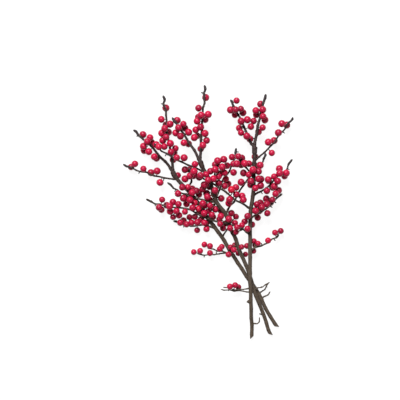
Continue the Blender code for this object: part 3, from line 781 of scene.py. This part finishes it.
def sweep_tree():
    tree, start, end = new_tree("sweep_wood", Sides=12, Furrow=0.00012, Slope=0.0, Fresh=0.0)
    along = add(tree, "GeometryNodeSplineParameter")
    ahead = add(tree, "GeometryNodeInputTangent")
    place = add(tree, "GeometryNodeInputPosition")
    radius = add(tree, "GeometryNodeInputRadius")
    keep = tree.nodes.new("GeometryNodeCaptureAttribute")
    keep.domain = "POINT"
    for kind, name in (("FLOAT", "along"), ("FLOAT", "whole"), ("VECTOR", "ahead"),
                       ("VECTOR", "axis")):
        keep.capture_items.new(kind, name)
    tree.links.new(start.outputs["Geometry"], keep.inputs["Geometry"])
    tree.links.new(along.outputs["Length"], keep.inputs["along"])
    whole = add(tree, "GeometryNodeSplineLength")
    tree.links.new(whole.outputs["Length"], keep.inputs["whole"])
    tree.links.new(ahead.outputs["Tangent"], keep.inputs["ahead"])
    tree.links.new(place.outputs["Position"], keep.inputs["axis"])
    circle = add(tree, "GeometryNodeCurvePrimitiveCircle", Radius=1.0,
                 Resolution=start.outputs["Sides"])
    sweep = add(tree, "GeometryNodeCurveToMesh", Curve=keep.outputs["Geometry"],
                Profile_Curve=circle.outputs["Curve"], Scale=radius.outputs["Radius"],
                Fill_Caps=True)
    # The slanting cut shears the first ring along the stem.
    side = vectors(tree, "CROSS_PRODUCT", i0=(0, 0, 1), i1=keep.outputs["ahead"])
    here = add(tree, "GeometryNodeInputPosition")
    arm = vectors(tree, "SUBTRACT", i0=here.outputs["Position"], i1=keep.outputs["axis"])
    beside = vectors(tree, "DOT_PRODUCT", i0=arm.outputs["Vector"], i1=side.outputs["Vector"])
    fade = add(tree, "ShaderNodeMapRange", Value=keep.outputs["along"],
               From_Max=CUT_REACH, To_Min=1.0, To_Max=0.0)
    much = sums(tree, "MULTIPLY", beside.outputs["Value"], fade.outputs["Result"])
    much = sums(tree, "MULTIPLY", much, start.outputs["Slope"])
    shear = vectors(tree, "SCALE", i0=keep.outputs["ahead"], Scale=much)
    cut = add(tree, "GeometryNodeSetPosition", Geometry=sweep.outputs["Mesh"],
              Offset=shear.outputs["Vector"])
    # Furrows and small warts of the bark.
    rough = add(tree, "ShaderNodeTexNoise", {"noise_dimensions": "3D"}, Scale=900.0, Detail=3.0)
    lift = sums(tree, "SUBTRACT", rough.outputs[0], 0.5)
    lift = sums(tree, "MULTIPLY", lift, start.outputs["Furrow"])
    normal = add(tree, "GeometryNodeInputNormal")
    push = vectors(tree, "SCALE", i0=normal.outputs["Normal"], Scale=lift)
    bark = add(tree, "GeometryNodeSetPosition", Geometry=cut.outputs["Geometry"],
               Offset=push.outputs["Vector"])
    # How fresh the wood is: 1 at a tip, 0 where it is a year old.
    left = sums(tree, "SUBTRACT", keep.outputs["whole"], keep.outputs["along"])
    fresh = add(tree, "ShaderNodeMapRange", Value=left,
                From_Min=FRESH_REACH[0], From_Max=FRESH_REACH[1],
                To_Min=start.outputs["Fresh"], To_Max=0.0)
    stored = bark
    for kind, label, value in (("FLOAT", "along", keep.outputs["along"]),
                               ("FLOAT_VECTOR", "off_axis", arm.outputs["Vector"]),
                               ("FLOAT", "fresh", fresh.outputs["Result"])):
        stored = store(tree, stored, kind, label, value)
    whole = add(tree, "GeometryNodeRealizeInstances", Geometry=stored.outputs["Geometry"])
    finish = add(tree, "GeometryNodeSetMaterial", Geometry=whole.outputs["Geometry"])
    tree.links.new(finish.outputs["Geometry"], end.inputs["Geometry"])
    return tree, finish

# %% [markdown]
# ## The trees that set berries and buds
#
# Hundreds of berries of one shape are best made once and placed on points. Each point
# carries the berry's radius, the way its stalk comes in, and a tint, because no two berries
# ripen alike; a berry that hangs low gets a darker tint, which is painted shade. The shape is
# a sphere of a few dozen faces, a little flatter than it is wide, and its far end keeps the
# black speck where the flower was.

# %% Berry and bud trees
FACET_ALLOWANCE = 1.04  # a ball of flat faces is made larger, so that it looks as wide
FULL_TURN = 6.28


def points_of(rows, name):
    """A mesh of loose points: each row is (place mm, size mm, direction, tint)."""
    mesh = bpy.data.meshes.new(name)
    mesh.from_pydata([Vector(row[0]) * MM for row in rows], [], [])
    sizes, outs, tints = ([row[k] for row in rows] for k in (1, 2, 3))
    for label, kind, field, values in (
        ("size", "FLOAT", "value", np.array(sizes) * MM),
        ("out", "FLOAT_VECTOR", "vector", np.array(outs, float).ravel()),
        ("tint", "FLOAT", "value", tints),
    ):
        mesh.attributes.new(label, kind, "POINT").data.foreach_set(field, values)
    return in_scene(name, mesh)


def named(tree, label, kind="FLOAT"):
    return add(tree, "GeometryNodeInputNamedAttribute", {"data_type": kind}, Name=label).outputs[0]


def set_on_points_tree(name, sides, rings, height, point_power):
    """A turned shape on each point. Its far end narrows as point_power grows."""
    tree, start, end = new_tree(name, Sides=sides, Rings=rings, Height=height, Narrow=point_power)
    ball = add(tree, "GeometryNodeMeshUVSphere", Radius=FACET_ALLOWANCE,
               Segments=start.outputs["Sides"], Rings=start.outputs["Rings"])
    place = add(tree, "GeometryNodeInputPosition")
    parts = add(tree, "ShaderNodeSeparateXYZ", i0=place.outputs["Position"])
    # From 0 at the stalk to 1 at the far end.
    reach = add(tree, "ShaderNodeMapRange", Value=parts.outputs["Z"],
                From_Min=-FACET_ALLOWANCE, From_Max=FACET_ALLOWANCE)
    kept = tree.nodes.new("GeometryNodeCaptureAttribute")
    kept.domain = "POINT"
    kept.capture_items.new("FLOAT", "reach")
    tree.links.new(ball.outputs["Mesh"], kept.inputs["Geometry"])
    tree.links.new(reach.outputs["Result"], kept.inputs["reach"])
    thin = sums(tree, "MULTIPLY", kept.outputs["reach"], start.outputs["Narrow"])
    thin = sums(tree, "SUBTRACT", 1.0, thin)
    wide = add(tree, "ShaderNodeCombineXYZ", X=thin, Y=thin, Z=start.outputs["Height"])
    shaped = vectors(tree, "MULTIPLY", i0=place.outputs["Position"], i1=wide.outputs["Vector"])
    body = add(tree, "GeometryNodeSetPosition", Geometry=kept.outputs["Geometry"],
               Position=shaped.outputs["Vector"])
    body = store(tree, body, "FLOAT", "reach", kept.outputs["reach"])
    turn = add(tree, "FunctionNodeAlignRotationToVector", {"axis": "Z"},
               Vector=named(tree, "out", "FLOAT_VECTOR"))
    whirl = add(tree, "FunctionNodeRandomValue", {"data_type": "FLOAT"},
                Min=0.0, Max=FULL_TURN, Seed=7)
    about = add(tree, "ShaderNodeCombineXYZ", Z=[s for s in whirl.outputs if s.enabled][0])
    spin = add(tree, "FunctionNodeRotateRotation", {"rotation_space": "LOCAL"},
               Rotation=turn.outputs["Rotation"], Rotate_By=about.outputs["Vector"])
    placed = add(tree, "GeometryNodeInstanceOnPoints", Points=start.outputs["Geometry"],
                 Instance=body.outputs["Geometry"], Rotation=spin.outputs["Rotation"],
                 Scale=named(tree, "size"))
    whole = add(tree, "GeometryNodeRealizeInstances", Geometry=placed.outputs["Instances"])
    finish = add(tree, "GeometryNodeSetMaterial", Geometry=whole.outputs["Geometry"])
    tree.links.new(finish.outputs["Geometry"], end.inputs["Geometry"])
    return tree, finish

# %% [markdown]
# ## Bark
#
# Winterberry bark is thin and dark, grey-brown low on the stem and darker and redder in the
# head, with fine cracks along the wood and small pale pores. One shader does it all: noise
# stretched along each twig for the cracks, small cells for the pores, and the place along
# the bunch for the change from old wood to young.

# %% Bark finish
CRACK_STRETCH = 5.0
HEAD_FROM_TO = (0.04, 0.17)  # old wood turns to young between these, in metres
GRAIN_RANGE = (0.35, 0.68)
# Each of these is a stretch of a pattern, and what it turns into.
GREY_PATCHES, FRESH_TIPS = (0.52, 0.70, 0.0, 0.25), (0.0, 1.0, 0.0, 0.7)
PORE_CELLS, CRACK_ROUGHNESS = (0.10, 0.22, 0.75, 0.0), (0.3, 0.7, 0.85, 0.55)
OLD_BARK = (0.030, 0.021, 0.013), (0.094, 0.068, 0.046)
YOUNG_BARK = (0.009, 0.004, 0.004), (0.034, 0.017, 0.015)
GREY_BARK, TIP_BARK = (0.056, 0.048, 0.042), (0.014, 0.010, 0.013)
PALE_PORE = (0.112, 0.084, 0.063)


def shader_nodes(name):
    made = bpy.data.materials.new(name)
    made.use_nodes = True
    return made, made.node_tree, made.node_tree.nodes["Principled BSDF"]


def blend_colours(tree, factor, low, high):
    mix = tree.nodes.new("ShaderNodeMix")
    mix.data_type = "RGBA"
    for socket, value in ((mix.inputs[0], factor), (mix.inputs[6], low), (mix.inputs[7], high)):
        if isinstance(value, bpy.types.NodeSocket):
            tree.links.new(value, socket)
        elif socket.type == "RGBA":
            socket.default_value = (*value, 1.0)
        else:
            socket.default_value = value
    return mix.outputs[2]


def spread_range(tree, value, low, high, to_low=0.0, to_high=1.0):
    return add(tree, "ShaderNodeMapRange", Value=value, From_Min=low, From_Max=high,
               To_Min=to_low, To_Max=to_high).outputs["Result"]


def carried(tree, label, output="Fac"):
    """What the mesh carries under that name at each point."""
    return add(tree, "ShaderNodeAttribute", {"attribute_name": label}).outputs[output]


def emboss(tree, shader, strength, distance, height):
    bump = add(tree, "ShaderNodeBump", Strength=strength, Distance=distance, Height=height)
    tree.links.new(bump.outputs["Normal"], shader.inputs["Normal"])


def bark_finish():
    made, tree, shader = shader_nodes("dark_bark")
    here = add(tree, "ShaderNodeTexCoord").outputs["Object"]
    scaled = vectors(tree, "SCALE", i0=carried(tree, "off_axis", "Vector"), Scale=CRACK_STRETCH)
    lengthwise = add(tree, "ShaderNodeCombineXYZ", Z=carried(tree, "along"))
    follow = vectors(tree, "ADD", i0=scaled.outputs["Vector"], i1=lengthwise.outputs["Vector"])
    cracks = add(tree, "ShaderNodeTexNoise", Vector=follow.outputs["Vector"], Scale=260.0,
                 Detail=4.0, Roughness=0.6)
    patches = add(tree, "ShaderNodeTexNoise", Vector=here, Scale=70.0, Detail=3.0)
    height = add(tree, "ShaderNodeSeparateXYZ", i0=here).outputs["Y"]
    young = spread_range(tree, height, *HEAD_FROM_TO)
    cracked = spread_range(tree, cracks.outputs[0], *GRAIN_RANGE)
    wood = blend_colours(tree, young, blend_colours(tree, cracked, *OLD_BARK),
                         blend_colours(tree, cracked, *YOUNG_BARK))
    grey = spread_range(tree, patches.outputs[0], *GREY_PATCHES)
    wood = blend_colours(tree, grey, wood, GREY_BARK)
    head_only = sums(tree, "MULTIPLY", carried(tree, "fresh"), young)
    wood = blend_colours(tree, spread_range(tree, head_only, *FRESH_TIPS), wood, TIP_BARK)
    cells = add(tree, "ShaderNodeTexVoronoi", Vector=here, Scale=420.0)
    pores = spread_range(tree, cells.outputs["Distance"], *PORE_CELLS)
    wood = blend_colours(tree, pores, wood, PALE_PORE)
    tree.links.new(wood, shader.inputs["Base Color"])
    tree.links.new(spread_range(tree, cracks.outputs[0], *CRACK_ROUGHNESS),
                   shader.inputs["Roughness"])
    shader.inputs["Specular IOR Level"].default_value = 0.3
    emboss(tree, shader, 0.5, 0.0003, sums(tree, "ADD", cracks.outputs[0], pores))
    return made

# %% [markdown]
# ## Berry skin
#
# The skin is smooth, waxy and deep red. The tint that each berry carries moves it between a
# dark wine red and a bright, slightly orange red, a faint mottle breaks it up, the end near
# the stalk is darker, and a black speck marks the far end.

# %% Berry, stalk and bud finishes
WINE_RED, DEEP_RED = (0.165, 0.003, 0.019), (0.430, 0.006, 0.040)
SCARLET, MOTTLE = (0.47, 0.008, 0.020), (0.26, 0.002, 0.024)
STALK_END, SPECK = (0.12, 0.01, 0.012), (0.02, 0.012, 0.010)


def berry_finish():
    made, tree, shader = shader_nodes("berry_skin")
    here = add(tree, "ShaderNodeTexCoord").outputs["Object"]
    tint, reach = carried(tree, "tint"), carried(tree, "reach")
    mottle = add(tree, "ShaderNodeTexNoise", Vector=here, Scale=240.0, Detail=3.0)
    skin = blend_colours(tree, tint, WINE_RED, DEEP_RED)
    for value, reaches, colour in (
        (tint, (0.85, 0.93, 0.0, 0.6), SCARLET),
        (mottle.outputs[0], (0.40, 0.75, 0.0, 0.30), MOTTLE),
        (reach, (0.0, 0.16, 0.55, 0.0), STALK_END),
        (reach, (0.984, 0.993, 0.0, 0.75), SPECK),
    ):
        skin = blend_colours(tree, spread_range(tree, value, *reaches), skin, colour)
    tree.links.new(skin, shader.inputs["Base Color"])
    tree.links.new(spread_range(tree, mottle.outputs[0], 0.35, 0.7, 0.27, 0.40),
                   shader.inputs["Roughness"])
    emboss(tree, shader, 0.12, 0.0002, mottle.outputs[0])
    shader.inputs["Specular IOR Level"].default_value = 0.26
    shader.inputs["Specular Tint"].default_value = (1.0, 0.88, 1.0, 1)
    return made


def plain_wood_finish(name, dark, pale, roughness):
    made, tree, shader = shader_nodes(name)
    here = add(tree, "ShaderNodeTexCoord").outputs["Object"]
    grain = add(tree, "ShaderNodeTexNoise", Vector=here, Scale=600.0, Detail=3.0)
    wood = blend_colours(tree, spread_range(tree, grain.outputs[0], *GRAIN_RANGE), dark, pale)
    tree.links.new(wood, shader.inputs["Base Color"])
    shader.inputs["Roughness"].default_value = roughness
    emboss(tree, shader, 0.3, 0.0002, grain.outputs[0])
    return made


BARK = bark_finish()
SKIN = berry_finish()
STALK = plain_wood_finish("berry_stalk", (0.031, 0.021, 0.011), (0.099, 0.059, 0.031), 0.6)
BUD = plain_wood_finish("bud_scales", (0.043, 0.032, 0.028), (0.130, 0.106, 0.092), 0.65)

# %% [markdown]
# ## What each sprig is grown from
#
# The trees need runs of wood and stalks, and places of berries and buds. They all follow from
# a sprig's twigs and berries, so nothing more is placed by hand. Spurs are short, blunt twigs
# that once bore berries, and buds sit by turns round a shoot.

# %% Runs of wood and stalks, and places of berries and buds
SPUR_SHAPE = [1.0, 1.0, 0.95, 0.75, 0.7, 0.8, 0.15]
SPUR_BOW = 0.3
STALK_SHAPE = np.array([1.5, 1.2, 1.0, 0.9, 0.9, 1.1, 1.5])
STALK_BOW = (0.25, 0.25, -0.35)
STALK_ENDS = 0.88  # how far from its berry's centre, in radii
SWAY = 0.25
RIPENESS = (4.5, 3.2)
# Painted shade: the tint of a berry that hangs below its shoot is scaled by this, as if the bunch
# shaded it.
LOW_BERRY_SHADE = 0.85  # a berry that hangs low is darker
FIRST_BUD, BUD_SPACING = (7, 11), (8, 13)
GOLDEN_TURN = 137.5
BUD_SIZE, BUD_SEAT, BUD_LEAN = 0.62, 1.02, 0.9
BUDLESS_END = 6
FORK_BUD_SIZE, FORK_BUD_SEAT, FORK_BUD_LEAN, FORK_BUD_RISE = 1.35, 0.75, 0.4, 0.5
FORK_BUD_BACK = 14


def unit(vector):
    vector = np.array(vector, float)
    return vector / np.linalg.norm(vector)


def wood_runs(sprig, draw):
    """Two lists of (points, radii): one for the stem, and one for its shoots and spurs."""
    stem, shoots = [], []
    for name, twig in sprig.twigs.items():
        (stem if name == "stem" else shoots).append(grown(twig, name == "stem", draw))
        for place in twig.spurs:
            foot = twig.run[twig.nearest(place)]
            out = unit([place[0] - foot[0], place[1] - foot[1], SPUR_LIFT])
            reach = twig.radii[twig.nearest(place)] + SPUR_LENGTH
            share = np.linspace(0, 1, len(SPUR_SHAPE))[:, None]
            bow = np.sin(share * math.pi) * np.array([0, 0, SPUR_BOW])
            shoots.append((foot + out * reach * share + bow, SPUR_SHAPE))
    return stem, shoots


def stalk_runs(sprig):
    """A stalk leaves the bark, bows a little and widens where it meets the berry."""
    runs = []
    for berry in sprig.berries:
        out = berry["centre"] - berry["foot"]
        far = np.linalg.norm(out)
        end = berry["foot"] + out * (1 - STALK_ENDS * berry["radius"] / far)
        share = np.linspace(0, 1, len(STALK_SHAPE))[:, None]
        bow = np.sin(share * math.pi) * np.array(STALK_BOW)
        points = berry["foot"] + (end - berry["foot"]) * share + bow
        runs.append((points, STALK_SHAPE * STALK_RADIUS))
    return runs


def berry_rows(sprig, draw):
    rows = []
    for berry in sprig.berries:
        out = unit(berry["centre"] - berry["foot"])
        sway = np.array([draw.uniform(-SWAY, SWAY) for _ in range(3)])
        # Painted shade: a berry hanging below its shoot gets a darker tint.
        low = berry["centre"][2] < berry["foot"][2] - 1.0
        tint = draw.betavariate(*RIPENESS) * (LOW_BERRY_SHADE if low else 1.0)
        rows.append((berry["centre"], berry["radius"], unit(out + sway), min(tint, 1.0)))
    return rows


def bud_rows(sprig, draw):
    """Buds sit by turns round each shoot, pressed to the bark and leaning to the tip."""
    rows = []
    for name, twig in sprig.twigs.items():
        if name == "stem":
            continue
        k = draw.randint(*FIRST_BUD)
        turn = draw.uniform(0, 360)
        while k < len(twig.run) - BUDLESS_END:
            ahead = unit(twig.run[k + 1] - twig.run[k - 1])
            left = unit(np.cross((0, 0, 1), ahead))
            angle = math.radians(turn)
            out = math.cos(angle) * left + math.sin(angle) * np.cross(ahead, left)
            lean = unit(out + BUD_LEAN * ahead)
            place = twig.run[k] + out * twig.radii[k] * BUD_SEAT
            rows.append((place, BUD_SIZE, lean, draw.random()))
            turn += GOLDEN_TURN
            k += draw.randint(*BUD_SPACING)
        if name.startswith("fork"):
            k = len(twig.run) - FORK_BUD_BACK
            ahead = unit(twig.run[k + 1] - twig.run[k - 1])
            for side in (1, -1):
                out = unit(np.cross((0, 0, side), ahead) + (0, 0, FORK_BUD_RISE))
                place = twig.run[k] + out * twig.radii[k] * FORK_BUD_SEAT
                lean = unit(ahead + FORK_BUD_LEAN * out)
                rows.append((place, FORK_BUD_SIZE, lean, draw.random()))
    return rows

# %% [markdown]
# ## Running the trees
#
# Each tree runs once for each sprig and kind of piece. One joined mesh for a sprig would do
# too, but pieces apart keep their own finish and are easy to look at one by one.

# %% Grow the three sprigs
WOOD_TREE, wood_finish = sweep_tree()
BERRY_TREE, berry_skin = set_on_points_tree("set_berries", 10, 7, 0.95, 0.0)
BUD_TREE, bud_finish = set_on_points_tree("set_buds", 7, 5, 1.7, 0.55)


def keep(piece, sprig, slot):
    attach(piece, "root")
    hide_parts(sprig.name)


def grow_wood(sprig, part, runs, finish, **values):
    wood_finish.inputs["Material"].default_value = finish
    made = run_tree(curve_of(runs, part + "_runs"), WOOD_TREE, sprig.name + "_" + part, **values)
    keep(made, sprig, "bark")


for seed, sprig in enumerate(sprigs):
    draw = random.Random(100 + seed)
    stem, shoots = wood_runs(sprig, draw)
    grow_wood(sprig, "stem", stem, BARK, Sides=18, Furrow=0.0003, Slope=sprig.cut)
    grow_wood(sprig, "shoots", shoots, BARK, Sides=10, Furrow=0.0002, Fresh=1.0)
    grow_wood(sprig, "stalks", stalk_runs(sprig), STALK, Sides=6, Furrow=0.0)
    bud_finish.inputs["Material"].default_value = BUD
    made = run_tree(points_of(bud_rows(sprig, draw), "bud_points"), BUD_TREE,
                    sprig.name + "_buds")
    keep(made, sprig, "bark")
    berry_skin.inputs["Material"].default_value = SKIN
    made = run_tree(points_of(berry_rows(sprig, draw), "berry_points"), BERRY_TREE,
                    sprig.name + "_berries")
    keep(made, sprig, "berry")

# %% [markdown]
# ## Floor
#
# A plain pale floor. It glows, as a lit table in a studio does, so the shadows are faint.

# %% Floor
FLOOR_PAINT = 0.12
FLOOR_GLOW = 0.91
FLOOR_SIDE = 6.0
FLOOR_DROP = 0.0003  # just below the bunch, so that no face lies in the floor's plane


def floor():
    mesh = bpy.data.meshes.new("floor")
    half = FLOOR_SIDE / 2
    mesh.from_pydata([(-half, -half, 0), (half, -half, 0), (half, half, 0), (-half, half, 0)],
                     [], [(0, 1, 2, 3)])
    made = in_scene("floor", mesh)
    made.location.z = -FLOOR_DROP
    paper, tree, shader = shader_nodes("pale_floor")
    shader.inputs["Base Color"].default_value = (FLOOR_PAINT, FLOOR_PAINT, FLOOR_PAINT, 1)
    shader.inputs["Roughness"].default_value = 0.9
    shader.inputs["Specular IOR Level"].default_value = 0.0
    shader.inputs["Emission Color"].default_value = (1.0, 1.0, 1.0, 1)
    shader.inputs["Emission Strength"].default_value = FLOOR_GLOW
    mesh.materials.append(paper)


floor()

# %% [markdown]
# ## Lights
#
# Two broad lamps and a faint sky. One sun would be simpler, but broad lamps give softer
# shadows and a soft light spot on each berry.

# %% Lights
def lamp(name, place, target, width, power):
    data = bpy.data.lights.new(name, "AREA")
    data.shape = "DISK"
    data.size = width
    data.energy = power
    made = in_scene(name, data)
    made.location = place
    aim = Vector(target) - Vector(place)
    made.rotation_euler = aim.to_track_quat("-Z", "Y").to_euler()


MIDDLE = (-0.06, 0.10, 0.01)
lamp("key", (-0.40, 1.18, 1.30), MIDDLE, 0.95, 60)
lamp("fill", (0.9, -0.6, 1.2), MIDDLE, 1.4, 6)
world = bpy.data.worlds.new("soft_sky")
bpy.context.scene.world = world
world.use_nodes = True
world.node_tree.nodes["Background"].inputs["Color"].default_value = (1.0, 1.0, 1.0, 1)
world.node_tree.nodes["Background"].inputs["Strength"].default_value = 0.20

# %% [markdown]
# ## Camera
#
# A long lens looks straight down, which is how one sees a bunch on a table.

# %% Camera
FOCAL_LENGTH, SENSOR = 100, 36  # in millimetres
SEEN_WIDTH = 0.560
MID_HEIGHT = 0.014
lens = bpy.data.cameras.new("long_lens")
lens.lens = FOCAL_LENGTH
lens.sensor_width = SENSOR
lens.clip_end = 20
camera = in_scene("camera", lens)
camera.location = (-0.070, 0.1125, SEEN_WIDTH * FOCAL_LENGTH / SENSOR + MID_HEIGHT)
camera.rotation_euler = (0, 0, 0)
bpy.context.scene.camera = camera
bpy.context.scene.view_settings.view_transform = "Standard"
bpy.context.scene.view_settings.look = "None"
